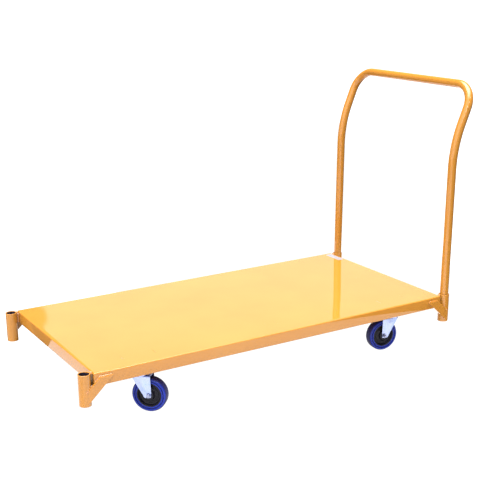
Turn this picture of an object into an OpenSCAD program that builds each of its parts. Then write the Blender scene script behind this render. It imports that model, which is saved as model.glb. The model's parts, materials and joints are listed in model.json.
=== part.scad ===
// Flat-deck push trolley: a folded steel deck with a tube socket at each
// corner, a lift-out cranked push handle, and four swivel castors.
// +X points to the handle end, +Z up, the floor is z = 0.

/* [Deck] */
// Length of the deck sheet
deck_l = 1500; // [1200:10:1800]
// Width of the deck sheet
deck_w = 750; // [600:10:900]
// Depth of the folded skirt
skirt_h = 48; // [44:1:60]
// Sheet thickness
sheet_t = 3; // [2:0.5:4]
// Outside radius of the folds
fold_r = 4.5; // [4.5:0.5:8]
// Width of the lip turned in under the skirt
lip_w = 15; // [10:1:20]

/* [Cross members] */
// Width of each castor rail
rail_w = 120; // [110:5:160]
// Wall thickness of the castor rails
rail_t = 4; // [3:0.5:5]
// Width of each deck rib
rib_w = 40; // [30:5:60]
// Depth of each deck rib
rib_h = 30; // [20:1:34]
// Distance between deck ribs
rib_pitch = 277; // [200:1:300]

/* [Corner sockets] */
// Outside diameter of the socket tube
socket_od = 42.4; // [42.4:0.1:43]
// Wall of the socket tube
socket_wall = 3.2; // [2.8:0.1:3.4]
// Length of a socket
socket_l = 112; // [100:1:130]
// Distance of the socket axis beyond the deck end
socket_out = 29; // [27:0.5:34]
// Distance of the socket axis in from the deck side
socket_in = 15; // [15:0.5:21]
// Thickness of the stop ring in a socket's foot
stop_t = 4; // [3:0.5:6]
// Drain hole in the stop ring
drain_d = 20; // [10:1:24]

/* [Corner straps] */
// Thickness of the flat bar
strap_t = 8; // [7:0.5:10]
// Length of the level cut at the strap's top
strap_cut = 48; // [40:1:56]
// Drop of that cut below the deck top
strap_drop = 16; // [12:1:20]
// Slope of the strap
strap_angle = 43; // [38:1:46]
// How far the strap runs past the socket axis
strap_past = 7; // [4:1:12]

/* [Handle] */
// Outside diameter of the handle tube
handle_od = 33.7; // [32:0.1:34]
// Wall of the handle tube
handle_wall = 2.6; // [2:0.1:3.2]
// Height of the grip bar's axis above the deck
grip_h = 824; // [760:1:860]
// Height above the deck where the legs start to crank
crank_start = 505; // [450:1:540]
// Angle of the crank away from the deck
crank_angle = 22; // [15:1:26]
// Bend radius of the crank
crank_r = 480; // [300:10:520]
// Bend radius of the top corners
corner_r = 90; // [70:1:110]
// Lean that the loose fit in the sockets allows
lean = 0.8; // [0:0.1:0.8]

/* [Castors] */
// Wheel diameter
wheel_d = 125; // [120:1:125]
// Tyre width
tyre_w = 36; // [30:1:36]
// Overall height of a castor
castor_h = 155; // [155:1:160]
// Horizontal distance from swivel axis to wheel axle
trail = 38; // [34:1:42]
// Swivel axis in from the deck end
castor_in_x = 197; // [190:1:300]
// Swivel axis in from the deck side
castor_in_y = 74; // [74:1:120]
// Heading of the front left wheel
heading_fl = -43.5; // [-180:0.5:180]
// Heading of the front right wheel
heading_fr = -38; // [-180:0.5:180]
// Heading of the rear left wheel
heading_rl = 172; // [-180:0.5:180]
// Heading of the rear right wheel
heading_rr = 166; // [-180:0.5:180]

/* [Hidden] */
$fn = 96;
EPS = 0.01;

// Deck levels
deck_top = castor_h + skirt_h;
sheet_bottom = deck_top - sheet_t;
in_l = deck_l - 2*sheet_t;
in_w = deck_w - 2*sheet_t;
rail_h = sheet_bottom - castor_h;
castor_x = deck_l/2 - castor_in_x;
castor_y = deck_w/2 - castor_in_y;

// Blank label near the rear right corner
label_l = 30;
label_w = 97;
label_t = 0.3;
label_x = deck_l/2 - 9.5 - label_l;
label_y = deck_w/2 - 18 - label_w;

// Sockets
socket_r = socket_od/2;
bore_r = socket_r - socket_wall;
socket_x = deck_l/2 + socket_out;
socket_y = deck_w/2 - socket_in;
socket_foot = deck_top - socket_l;
seat_r = bore_r + 0.5;
packer_w = 12;

// Handle: the crank's arc, then a straight run, in the plane of one leg
handle_r = handle_od/2;
leg_foot = socket_foot + stop_t + 0.5;
arc_x = crank_r*(1 - cos(crank_angle));
arc_z = crank_r*sin(crank_angle);
run_l = (grip_h - crank_start - arc_z)/cos(crank_angle);
grip_x = arc_x + run_l*sin(crank_angle);
lean_z = deck_top - socket_l/2;
lean_h = deck_top + grip_h - lean_z;
bend_draw = 0.15;
bend_lap = 0.5;

// The frame's origin is the middle of the whole trolley on the floor
x_max = socket_x + grip_x*cos(lean) + lean_h*sin(lean) + handle_r;
x_min = -(socket_x + socket_r);
deck_x = -(x_max + x_min)/2;

// Castor plate and its bolts
plate_l = 105;
plate_w = 85;
plate_t = 3;
plate_z = castor_h - plate_t;
bolt_dx = 30;
bolt_dy = 40;
bolt_hole_r = 4.5;
bolt_r = 4;
hex_r = 7.5;
head_h = 5.3;
nut_h = 6.5;

// Swivel head
pin_r = 6;
race_r = 24;
ball_r = 2.8;
ball_n = 18;
ball_z = 143.5;
boss_z = 145;
boss_r = 31;
cup_r = 35;
cup_top = 148;
seat_z = 142;
crown_z = 133;
crown_t = 3;

// Fork and wheel
axle_z = wheel_d/2;
fork_gap = 44;
fork_t = 2.5;
axle_r = 4;
bush_r = 6;
bearing_r = 9.5;
hub_w = 41;
hub_r = 16;
rim_r = 44.6;
rim_w = 34;

CORNERS = [["front_left", -1, -1, heading_fl], ["front_right", -1, 1, heading_fr],
           ["rear_left", 1, -1, heading_rl], ["rear_right", 1, 1, heading_rr]];
CASTOR_PIECES = ["top_plate", "kingpin", "swivel_balls", "fork", "axle_bolt", "axle_nut",
                 "axle_bush", "wheel_bearing", "wheel_centre", "tyre"];

PAINT = [0.94, 0.60, 0.20];
ZINC = [0.80, 0.83, 0.88];
STEEL = [0.62, 0.63, 0.66];
NYLON = [0.10, 0.10, 0.13];
RUBBER = [0.12, 0.20, 0.60];

// Points of an arc from angle a0 to a1 about c
function arc(c, r, a0, a1, n = 8) =
    [for (i = [0:n]) c + r*[cos(a0 + (a1 - a0)*i/n), sin(a0 + (a1 - a0)*i/n)]];

// ---- placing ----
module on_deck() {
    translate([deck_x, 0, 0]) children();
}

// One corner: the piece is drawn for the corner at +X, +Y
module at_corner(c) {
    on_deck() mirror([c[1] < 0 ? 1 : 0, 0, 0])
        mirror([0, c[2] < 0 ? 1 : 0, 0]) children();
}

// One castor: swivel axis at x = y = 0, wheel behind it along +X
module at_castor(c, turned = true) {
    on_deck() translate([c[1]*castor_x, c[2]*castor_y, 0])
        rotate([0, 0, turned ? c[3] : 0]) children();
}

// Axle line of the wheel, along the piece's own Z
module on_axle() {
    translate([trail, 0, axle_z]) rotate([90, 0, 0]) children();
}

module ring(r_out, r_in, h) {
    difference() {
        cylinder(r = r_out, h = h);
        translate([0, 0, -EPS]) cylinder(r = r_in, h = h + 2*EPS);
    }
}

// ---- deck ----
// Box whose long edges, top and bottom, are rounded; the upright corners are sharp
module folded_block(l, w, h, r) {
    module side(len, wide) {
        rotate([90, 0, 0]) linear_extrude(len, center = true) {
            square([wide - 2*r, h], center = true);
            square([wide, h - 2*r], center = true);
            for (x = [-1, 1], z = [-1, 1])
                translate([x*(wide/2 - r), z*(h/2 - r)]) circle(r = r);
        }
    }
    intersection() {
        side(w + 2, l);
        rotate([0, 0, 90]) side(l + 2, w);
    }
}

module deck_sheet() {
    mouth = [deck_l - 2*(sheet_t + lip_w), deck_w - 2*(sheet_t + lip_w), 4*sheet_t];
    color(PAINT) on_deck() difference() {
        translate([0, 0, deck_top - skirt_h/2]) difference() {
            folded_block(deck_l, deck_w, skirt_h, fold_r);
            folded_block(in_l, in_w, skirt_h - 2*sheet_t, fold_r - sheet_t);
            translate([0, 0, -skirt_h/2]) cube(mouth, center = true);
        }
        label_block(1);
    }
}

// Channel across the deck, open side up
module channel(w, h, t, len) {
    translate([-w/2, -len/2, 0]) difference() {
        cube([w, len, h]);
        translate([t, -EPS, t]) cube([w - 2*t, len + 2*EPS, h]);
    }
}

module castor_rail(side) {
    color(PAINT) on_deck() translate([side*castor_x, 0, castor_h]) difference() {
        channel(rail_w, rail_h, rail_t, deck_w - 2*(sheet_t + lip_w));
        for (y = [-castor_y, castor_y], dx = [-bolt_dx, bolt_dx], dy = [-bolt_dy, bolt_dy])
            translate([dx, y + dy, -1]) cylinder(r = bolt_hole_r, h = rail_t + 2);
    }
}

module deck_ribs() {
    color(PAINT) on_deck() for (i = [-1:1])
        translate([i*rib_pitch, 0, sheet_bottom - rib_h]) channel(rib_w, rib_h, sheet_t, in_w);
}

// Blank label, let into the deck so that loads slide over it
module label_block(h) {
    translate([label_x, label_y, deck_top - label_t]) cube([label_l, label_w, h]);
}

module deck_label() {
    color("white") on_deck() label_block(label_t);
}

// ---- corners ----
module socket_void() {
    translate([socket_x, socket_y, socket_foot - 1]) cylinder(r = socket_r, h = socket_l + 2);
}

// Tube with a shallow counterbore in its foot, which the stop ring seats in
module socket() {
    color(PAINT) translate([socket_x, socket_y, socket_foot]) difference() {
        ring(socket_r, bore_r, socket_l);
        translate([0, 0, -EPS]) cylinder(r = seat_r, h = stop_t + EPS);
    }
}

// Flat bar from the skirt down to the socket's foot, coped round the socket
module strap() {
    x_end = socket_x + strap_past;
    x_top = x_end - (socket_l - strap_drop)/tan(strap_angle);
    z_top = deck_top - strap_drop;
    z_end = z_top - (x_end - x_top - strap_cut)*tan(strap_angle);
    color(PAINT) difference() {
        translate([0, deck_w/2 + strap_t, 0]) rotate([90, 0, 0]) linear_extrude(strap_t)
            polygon([[x_top, z_top], [x_top + strap_cut, z_top], [x_end, z_end],
                     [x_end, socket_foot]]);
        socket_void();
    }
}

module packer() {
    difference() {
        translate([deck_l/2, socket_y - packer_w/2, castor_h + fold_r])
            cube([socket_out, packer_w, skirt_h - 2*fold_r]);
        socket_void();
    }
}

module socket_packers() {
    color(PAINT) for (c = CORNERS) at_corner(c) packer();
}

module socket_stop_rings() {
    color(PAINT) for (c = CORNERS) at_corner(c)
        translate([socket_x, socket_y, socket_foot]) ring(seat_r, drain_d/2, stop_t);
}

// ---- handle ----
// Solid bend that starts upwards at the origin and turns towards +X; a bent
// tube draws down a little, so the straight runs overlap its two ends cleanly
module rod_bend(r, angle, w) {
    translate([r, 0, 0]) rotate([90, 0, 0])
        rotate_extrude(angle = angle, start = 180 - angle)
            translate([r, 0]) circle(r = w - bend_draw);
}

// Straight run between two bends
module rod_run(len, w) {
    translate([0, 0, -bend_lap]) cylinder(r = w, h = len + 2*bend_lap);
}

// One leg as a solid rod of radius w, from its foot up to the end of its top corner
module handle_side(w, foot) {
    translate([0, -socket_y, 0]) {
        translate([0, 0, foot]) cylinder(r = w, h = deck_top + crank_start + bend_lap - foot);
        translate([0, 0, deck_top + crank_start]) {
            rod_bend(crank_r, crank_angle, w);
            translate([arc_x, 0, arc_z]) rotate([0, crank_angle, 0]) {
                rod_run(run_l - corner_r, w);
                translate([0, 0, run_l - corner_r]) rotate([0, 0, 90]) rod_bend(corner_r, 90, w);
            }
        }
    }
}

module handle_rod(w, foot) {
    grip_l = 2*(socket_y - corner_r);
    handle_side(w, foot);
    mirror([0, 1, 0]) handle_side(w, foot);
    translate([grip_x, grip_l/2, deck_top + grip_h]) rotate([90, 0, 0]) rod_run(grip_l, w);
}

module push_handle() {
    color(PAINT) on_deck() translate([socket_x, 0, lean_z]) rotate([0, lean, 0])
        translate([0, 0, -lean_z]) difference() {
            handle_rod(handle_r, leg_foot);
            handle_rod(handle_r - handle_wall, leg_foot - 1);
        }
}

// ---- castors ----
module bolt_places() {
    for (c = CORNERS) at_castor(c, false)
        for (dx = [-bolt_dx, bolt_dx], dy = [-bolt_dy, bolt_dy]) translate([dx, dy, 0]) children();
}

module castor_bolts() {
    color(STEEL) bolt_places() translate([0, 0, plate_z]) {
        translate([0, 0, -head_h]) cylinder(r = hex_r, h = head_h, $fn = 6);
        cylinder(r = bolt_r, h = plate_t + rail_t + nut_h + 4);
    }
}

module castor_nuts() {
    color(STEEL) bolt_places() translate([0, 0, castor_h + rail_t]) difference() {
        cylinder(r = hex_r, h = nut_h, $fn = 6);
        translate([0, 0, -1]) cylinder(r = bolt_r, h = nut_h + 2);
    }
}

// Ball track, a ring groove about the swivel axis
module ball_track(r) {
    translate([0, 0, ball_z]) rotate_extrude() translate([race_r, 0]) circle(r = r);
}

module top_plate() {
    color(ZINC) difference() {
        union() {
            translate([-plate_w/2, -plate_l/2, plate_z]) cube([plate_w, plate_l, plate_t]);
            translate([0, 0, boss_z]) cylinder(r = boss_r, h = plate_z - boss_z + EPS);
        }
        translate([0, 0, boss_z - 1]) cylinder(r = 14, h = plate_z - boss_z + 1);
        translate([0, 0, plate_z - 1]) cylinder(r = pin_r, h = plate_t + 2);
        ball_track(3.2);
        for (dx = [-bolt_dx, bolt_dx], dy = [-bolt_dy, bolt_dy])
            translate([dx, dy, plate_z - 1]) cylinder(r = bolt_hole_r, h = plate_t + 2);
    }
}

module kingpin() {
    head_z = crown_z - 6;
    color(ZINC) {
        translate([0, 0, head_z]) cylinder(r = pin_r, h = castor_h - head_z);
        translate([0, 0, head_z]) cylinder(r = 11, h = 5);
    }
}

module swivel_balls() {
    color(STEEL) for (i = [0:ball_n - 1]) rotate([0, 0, 360/ball_n*i])
        translate([race_r, 0, ball_z]) sphere(r = ball_r, $fn = 32);
}

// Side view of one fork leg: upright trailing edge, slanted leading edge
function leg_outline(top) =
    concat([[-24, top], [20 - 0.5, 63]],
           arc([28, 63], 8.5, 180, 270),
           arc([40, 63], 8.5, 270, 360),
           [[49, top]]);

module fork() {
    color(ZINC) difference() {
        union() {
            for (y = [-fork_gap/2, fork_gap/2 + fork_t]) translate([0, y, 0])
                rotate([90, 0, 0]) linear_extrude(fork_t) polygon(leg_outline(crown_z + crown_t));
            translate([-24, -fork_gap/2, crown_z]) cube([49 + 24, fork_gap, crown_t]);
            translate([0, 0, crown_z]) cylinder(r = cup_r, h = crown_t);
            translate([0, 0, crown_z + crown_t - EPS])
                ring(cup_r, pin_r + 8, seat_z - crown_z - crown_t + EPS);
            translate([0, 0, seat_z - EPS]) ring(cup_r, cup_r - 3, cup_top - seat_z + EPS);
        }
        translate([0, 0, crown_z - 1]) cylinder(r = pin_r + 0.05, h = crown_t + 2);
        ball_track(3);
        on_axle() cylinder(r = axle_r + 0.2, h = fork_gap + 4*fork_t, center = true);
    }
}

module axle_bolt() {
    reach = fork_gap/2 + fork_t;
    color(STEEL) on_axle() {
        translate([0, 0, reach]) cylinder(r = hex_r, h = head_h, $fn = 6);
        translate([0, 0, -reach - nut_h - 4]) cylinder(r = axle_r, h = 2*reach + nut_h + 4 + EPS);
    }
}

module axle_nut() {
    reach = fork_gap/2 + fork_t;
    color(STEEL) on_axle() translate([0, 0, -reach - nut_h]) difference() {
        cylinder(r = hex_r, h = nut_h, $fn = 6);
        translate([0, 0, -1]) cylinder(r = axle_r, h = nut_h + 2);
    }
}

module axle_bush() {
    color(STEEL) on_axle() translate([0, 0, -fork_gap/2]) ring(bush_r, axle_r + 0.1, fork_gap);
}

module wheel_bearing() {
    color(STEEL) on_axle() translate([0, 0, -hub_w/2]) ring(bearing_r, bush_r + 0.06, hub_w);
}

// Hub, dished web and rim, as one turned section
module wheel_centre() {
    half = [[hub_r, hub_w/2], [hub_r + 1.5, 15], [21, 7.5], [26, 6.5], [27.5, 8.5], [30.5, 8.5],
            [32, 6.5], [37, 6.5], [40.5, rim_w/2 - 1], [42, rim_w/2], [rim_r, rim_w/2]];
    n = len(half) - 1;
    color(NYLON) on_axle() rotate_extrude() polygon(concat([[bearing_r, hub_w/2]], half,
        [for (i = [0:n]) [half[n - i][0], -half[n - i][1]]], [[bearing_r, -hub_w/2]]));
}

// Solid tyre: rounded shoulders and two shallow grooves in each wall
module tyre() {
    r = wheel_d/2;
    shoulder = 5;
    color(RUBBER) on_axle() rotate_extrude() difference() {
        union() {
            translate([rim_r, -tyre_w/2]) square([r - shoulder - rim_r, tyre_w]);
            translate([rim_r, shoulder - tyre_w/2]) square([r - rim_r, tyre_w - 2*shoulder]);
            for (z = [-1, 1]) translate([r - shoulder, z*(tyre_w/2 - shoulder)])
                circle(r = shoulder);
        }
        for (z = [-1, 1]) translate([51, z*(tyre_w/2 + 0.4)]) circle(r = 1.4);
    }
}

deck_sheet();
castor_rail(-1);  // front_castor_rail
castor_rail(1);  // rear_castor_rail
deck_ribs();
socket_packers();
socket_stop_rings();
deck_label();
push_handle();
castor_bolts();
castor_nuts();
for (c = CORNERS) {
    at_corner(c) socket();
    at_corner(c) strap();
    at_castor(c, false) top_plate();
    at_castor(c) kingpin();
    at_castor(c) swivel_balls();
    at_castor(c) fork();
    at_castor(c) axle_bolt();
    at_castor(c) axle_nut();
    at_castor(c) axle_bush();
    at_castor(c) wheel_bearing();
    at_castor(c) wheel_centre();
    at_castor(c) tyre();
}
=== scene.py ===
import json
import math

import bpy
import numpy as np
from bpy.props import FloatProperty, FloatVectorProperty, PointerProperty
from mathutils import Matrix, Vector


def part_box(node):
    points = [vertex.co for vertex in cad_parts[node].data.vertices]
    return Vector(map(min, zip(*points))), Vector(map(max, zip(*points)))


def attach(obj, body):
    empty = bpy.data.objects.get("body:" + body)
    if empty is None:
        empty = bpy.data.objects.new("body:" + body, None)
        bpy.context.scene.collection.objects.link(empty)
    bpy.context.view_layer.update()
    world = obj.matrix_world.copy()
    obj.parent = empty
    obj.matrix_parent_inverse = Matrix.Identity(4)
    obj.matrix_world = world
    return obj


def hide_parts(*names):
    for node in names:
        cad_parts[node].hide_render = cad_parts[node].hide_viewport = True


bl_info = {
    "name": "Platform Trolley",
    "version": (1, 0, 0),
    "blender": (4, 5, 0),
    "location": "3D View > Sidebar > Trolley",
    "description": "Builds the finished surfaces of a platform trolley on its CAD frame",
    "category": "Add Mesh",
}

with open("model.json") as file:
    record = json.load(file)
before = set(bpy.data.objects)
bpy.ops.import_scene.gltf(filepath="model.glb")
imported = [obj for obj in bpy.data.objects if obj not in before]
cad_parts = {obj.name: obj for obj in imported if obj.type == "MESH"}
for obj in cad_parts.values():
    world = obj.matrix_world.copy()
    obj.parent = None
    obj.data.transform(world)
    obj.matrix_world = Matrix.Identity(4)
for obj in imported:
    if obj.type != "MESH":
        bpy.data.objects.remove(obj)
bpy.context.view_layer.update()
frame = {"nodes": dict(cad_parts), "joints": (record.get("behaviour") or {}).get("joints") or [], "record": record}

MM = 0.001
SIDES = {
    "front_left": (-1, -1),
    "front_right": (-1, 1),
    "rear_left": (1, -1),
    "rear_right": (1, 1),
}
CORNERS = tuple(SIDES)
JOINTS = {joint["name"]: joint for joint in frame["joints"]}

DECK_LOW, DECK_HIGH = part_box("deck_sheet")
DECK_MIDDLE = (DECK_LOW + DECK_HIGH) / 2
DECK_HALF = (DECK_HIGH - DECK_LOW) / 2
DECK_TOP = DECK_HIGH.z
DECK_CENTRE = np.array([DECK_MIDDLE.x, DECK_MIDDLE.y, 0.0])
SOCKET_LOW, SOCKET_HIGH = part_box("rear_right_socket")
SOCKET_MIDDLE = (SOCKET_LOW + SOCKET_HIGH) / 2
SOCKET_OUTER = (SOCKET_HIGH.y - SOCKET_LOW.y) / 2
SOCKET_BORE = frame["record"]["mounts"][1]["dims"]["r_mm"] * MM
SOCKET_X = SOCKET_MIDDLE.x - DECK_MIDDLE.x
SOCKET_Y = SOCKET_MIDDLE.y - DECK_MIDDLE.y
SOCKET_FOOT = SOCKET_LOW.z
WHEEL_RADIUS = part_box("rear_right_tyre")[1].z / 2
PLATE_LOW, PLATE_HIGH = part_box("front_left_top_plate")
PLATE_SHEET = 3 * MM
RAIL_SHEET = 4 * MM
RIB_WIDTH = 40 * MM
AXLE_OFFSET = np.subtract(JOINTS["front_left_roll"]["pos_m"], JOINTS["front_left_swivel"]["pos_m"])
TRAIL = math.hypot(*AXLE_OFFSET[:2])
AXLE_Z = JOINTS["front_left_roll"]["pos_m"][2]
AXLE_SPOT = np.array([TRAIL, 0, AXLE_Z])
CAMERA_STAND = Vector((DECK_MIDDLE.x - 1.9088, -3.2440, 1.4800))
UP, DOWN = (0, 0, 1), (0, 0, -1)
AXLE = (0, 1, 0)


# ---- shapes: each is worked out as whole arrays ----


def grid_faces(rows, cols, close_rows=False, close_cols=True):
    """Faces of a grid of points: each joins a point to its next neighbour along the row, down the
    column and across both. A closed side also joins the last to the first."""
    i = np.arange(rows if close_rows else rows - 1)
    j = np.arange(cols if close_cols else cols - 1)
    i, j = np.meshgrid(i, j, indexing="ij")
    i_next = (i + 1) % rows
    j_next = (j + 1) % cols
    corners = [i * cols + j, i_next * cols + j, i_next * cols + j_next, i * cols + j_next]
    return np.stack(corners, axis=-1).reshape(-1, 4)


def cap_faces(rows, cols):
    """Flat faces that close a grid's first and last row."""
    ring = np.arange(cols)
    return [ring[None, :], (ring + (rows - 1) * cols)[None, ::-1]]


def pole_faces(rows, cols):
    """Fans that close a grid's first and last row on two poles, which come after its points."""
    ring = np.arange(cols)
    following = (ring + 1) % cols
    last = (rows - 1) * cols
    pole = np.full(cols, rows * cols)
    first_fan = np.stack([pole, ring, following], axis=1)
    last_fan = np.stack([pole + 1, last + following, last + ring], axis=1)
    return [first_fan, last_fan]


def capped(grid):
    """Closed shell of a grid whose rows are closed outlines, with flat ends."""
    rows, cols = grid.shape[:2]
    return grid.reshape(-1, 3), [grid_faces(rows, cols), *cap_faces(rows, cols)]


def lifted(flat, height):
    """Flat points given a height, one for all or one each."""
    height = np.broadcast_to(height, flat.shape[:-1])
    return np.concatenate([flat, height[..., None]], axis=-1)


def outward(points, faces):
    """The faces of a closed shell, all turned over if they enclose a negative volume: a sixth of the
    sum of a . (b x c) over its triangles."""
    centred = points - points.mean(axis=0)
    volume = 0.0
    for group in faces:
        a = centred[group[:, 0]]
        for k in range(1, group.shape[1] - 1):
            normal = np.cross(centred[group[:, k]], centred[group[:, k + 1]])
            volume += np.einsum("ij,ij->", a, normal)
    return faces if volume > 0 else [group[:, ::-1] for group in faces]


def softened(corners, radius, steps=5):
    """Closed outline with each corner replaced by an arc that touches both of its sides: the arc's
    centre lies on the corner's bisector, radius / sin(half the corner's angle) away. radius is one
    value or one each."""
    corners = np.asarray(corners, float)
    radii = np.broadcast_to(np.asarray(radius, float), len(corners))
    before = np.roll(corners, 1, axis=0) - corners
    after = np.roll(corners, -1, axis=0) - corners
    before /= np.linalg.norm(before, axis=1, keepdims=True)
    after /= np.linalg.norm(after, axis=1, keepdims=True)
    bisector = before + after
    bisector /= np.linalg.norm(bisector, axis=1, keepdims=True)
    half = np.arccos(np.clip((before * bisector).sum(axis=1), -1, 1))
    centre = corners + bisector * (radii / np.sin(half))[:, None]
    first = corners + before * (radii / np.tan(half))[:, None] - centre
    last = corners + after * (radii / np.tan(half))[:, None] - centre
    start = np.arctan2(first[:, 1], first[:, 0])
    turn = np.arctan2(last[:, 1], last[:, 0]) - start
    turn = (turn + math.pi) % (2 * math.pi) - math.pi
    angle = start[:, None] + turn[:, None] * np.linspace(0, 1, steps)
    arc = centre[:, None] + radii[:, None, None] * np.stack([np.cos(angle), np.sin(angle)], axis=-1)
    return arc.reshape(-1, 2)


def turned(profile, centre, axis, steps=96, closed=True):
    """Surface of revolution: centre + height along the axis + radius across it, through a full circle.
    profile is rows of (radius, height), or (radius row, height) where the radius changes with the angle.
    A closed profile joins its last row to its first; an open one is closed on the axis at both ends."""
    centre = np.asarray(centre, float)
    axis = np.asarray(axis, float)
    across = np.cross(axis, (0, 0, 1) if abs(axis[2]) < 0.9 else (0, 1, 0))
    across /= np.linalg.norm(across)
    second = np.cross(axis, across)
    angle = np.linspace(0, 2 * math.pi, steps, endpoint=False)
    radius = np.stack([np.broadcast_to(row[0], steps) for row in profile])
    height = np.stack([np.broadcast_to(row[1], steps) for row in profile])
    points = centre + height[..., None] * axis
    points = points + (radius * np.cos(angle))[..., None] * across
    points = points + (radius * np.sin(angle))[..., None] * second
    points = points.reshape(-1, 3)
    faces = [grid_faces(len(profile), steps, close_rows=closed)]
    if not closed:
        poles = centre + np.array([[height[0, 0]], [height[-1, 0]]]) * axis
        faces += pole_faces(len(profile), steps)
        points = np.concatenate([points, poles])
    return points, faces


def carried(path, across, outline, direction=None, hollow=False):
    """Surface with a closed outline carried along a path: path + first outline value along across +
    second outline value along direction x across. The ends are closed flat, or joined to each other
    if hollow."""
    if direction is None:
        direction = np.gradient(path, axis=0)
    direction = direction / np.linalg.norm(direction, axis=1, keepdims=True)
    across = np.broadcast_to(np.asarray(across, float), path.shape)
    second = np.cross(direction, across)
    outline = np.broadcast_to(outline, (len(path),) + outline.shape[-2:])
    points = path[:, None] + outline[..., :1] * across[:, None] + outline[..., 1:] * second[:, None]
    if hollow:
        return points.reshape(-1, 3), [grid_faces(*points.shape[:2], close_rows=True)]
    return capped(points)


def circle(radius, steps=32):
    """Points of a circle about the origin."""
    angle = np.linspace(0, 2 * math.pi, steps, endpoint=False)
    return radius * np.stack([np.cos(angle), np.sin(angle)], axis=-1)


def smooth_step(value):
    """0 below 0, 1 above 1, and 3v2 - 2v3 between."""
    value = np.clip(value, 0, 1)
    return value * value * (3 - 2 * value)


def slab(low_face, high_face):
    """Closed shell between two grids of points of the same size, joined round their edge."""
    rows, cols = low_face.shape[:2]
    count = rows * cols
    index = np.arange(count).reshape(rows, cols)
    rim = np.concatenate([index[0, :-1], index[:-1, -1], index[-1, :0:-1], index[:0:-1, 0]])
    following = np.roll(rim, -1)
    low = grid_faces(rows, cols, close_cols=False)
    wall = np.stack([rim, following, following + count, rim + count], axis=1)
    points = np.concatenate([low_face.reshape(-1, 3), high_face.reshape(-1, 3)])
    return points, [low[:, ::-1], low + count, wall[:, ::-1]]


def placed(shell, matrix):
    """A shell moved by a 4 x 4 matrix."""
    points, faces = shell
    return points @ matrix[:3, :3].T + matrix[:3, 3], faces


def mirrored(shell, x_sign, y_sign):
    """A shell drawn for the +X, +Y corner of the deck, moved to another corner. add_piece() turns its
    faces outwards again."""
    points, faces = shell
    return points * np.array([x_sign, y_sign, 1.0]) + DECK_CENTRE, faces


def add_piece(name, shells, material, body, slot, replaces=(), sharp=35.0, bevel=0.0):
    """Makes one object of one or more closed shells, hangs it on its CAD body and hides the CAD nodes it replaces.
    slot is not used.
    """
    points = np.concatenate([shell[0] for shell in shells])
    faces = []
    start = 0
    for shell_points, shell_faces in shells:
        for group in outward(shell_points, shell_faces):
            faces += (group + start).tolist()
        start += len(shell_points)
    mesh = bpy.data.meshes.new(name)
    mesh.from_pydata(points.tolist(), [], faces)
    mesh.polygons.foreach_set("use_smooth", np.ones(len(mesh.polygons), bool))
    mesh.materials.append(material)
    piece = bpy.data.objects.new(name, mesh)
    bpy.context.scene.collection.objects.link(piece)
    if bevel:
        edge = piece.modifiers.new("Softened edges", "BEVEL")
        edge.width = bevel
        edge.segments = 2
        edge.limit_method = "ANGLE"
        edge.angle_limit = math.radians(sharp)
        edge.harden_normals = True
    else:
        mesh.set_sharp_from_angle(angle=math.radians(sharp))
    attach(piece, body)
    if replaces:
        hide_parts(*replaces)
    return piece


def mark(piece, name, values):
    """Writes one value for each point to an attribute that the piece's finish reads."""
    attribute = piece.data.attributes.new(name, "FLOAT", "POINT")
    attribute.data.foreach_set("value", values.astype(np.float32))


# ---- finishes ----


def new_finish(name, **sockets):
    """A material with a Principled shader whose sockets hold the given constants."""
    material = bpy.data.materials.new(name)
    material.use_nodes = True
    shader = material.node_tree.nodes["Principled BSDF"]
    for socket, value in sockets.items():
        shader.inputs[socket.replace("_", " ").title().replace("Ior", "IOR")].default_value = value
    return material, material.node_tree, shader


def noise(tree, scale, detail=3.0, roughness=0.5, stretch=None):
    """Noise over the piece, scale in cycles per metre; stretch squeezes the pattern along an axis."""
    texture = tree.nodes.new("ShaderNodeTexNoise")
    texture.inputs["Scale"].default_value = scale
    texture.inputs["Detail"].default_value = detail
    texture.inputs["Roughness"].default_value = roughness
    source = tree.nodes.new("ShaderNodeTexCoord").outputs["Object"]
    if stretch:
        mapping = tree.nodes.new("ShaderNodeMapping")
        mapping.inputs["Scale"].default_value = stretch
        tree.links.new(source, mapping.inputs["Vector"])
        source = mapping.outputs["Vector"]
    tree.links.new(source, texture.inputs["Vector"])
    return texture.outputs["Fac"]


def spread(tree, value, low, high, source=(0.3, 0.7)):
    """value, from the range source, carried to the range low to high."""
    node = tree.nodes.new("ShaderNodeMapRange")
    node.inputs["From Min"].default_value = source[0]
    node.inputs["From Max"].default_value = source[1]
    node.inputs["To Min"].default_value = low
    node.inputs["To Max"].default_value = high
    tree.links.new(value, node.inputs["Value"])
    return node.outputs["Result"]


def combined(tree, operation, *values, clamp=False):
    """A Math node over values, each a constant or an output."""
    node = tree.nodes.new("ShaderNodeMath")
    node.operation = operation
    node.use_clamp = clamp
    for socket, value in zip(node.inputs, values):
        if isinstance(value, bpy.types.NodeSocket):
            tree.links.new(value, socket)
        else:
            socket.default_value = value
    return node.outputs["Value"]


def blend(tree, factor, first, second):
    """Colour between two, each a constant or an output. A and B for colours are the Mix node's
    sockets 6 and 7, and its colour comes out of socket 2."""
    node = tree.nodes.new("ShaderNodeMix")
    node.data_type = "RGBA"
    tree.links.new(factor, node.inputs["Factor"])
    for value, socket in ((first, node.inputs[6]), (second, node.inputs[7])):
        if isinstance(value, bpy.types.NodeSocket):
            tree.links.new(value, socket)
        else:
            socket.default_value = (*value, 1.0)
    return node.outputs[2]


def painted(tree, name):
    """The value that mark() wrote to the piece's points under this name."""
    attribute = tree.nodes.new("ShaderNodeAttribute")
    attribute.attribute_name = name
    return attribute.outputs["Fac"]


def clouded(tree, first, second, *pattern):
    """Colour that goes from the first to the second with a noise. pattern is its scale, detail and
    roughness."""
    return blend(tree, spread(tree, noise(tree, *pattern), 0.0, 1.0), first, second)


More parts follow.
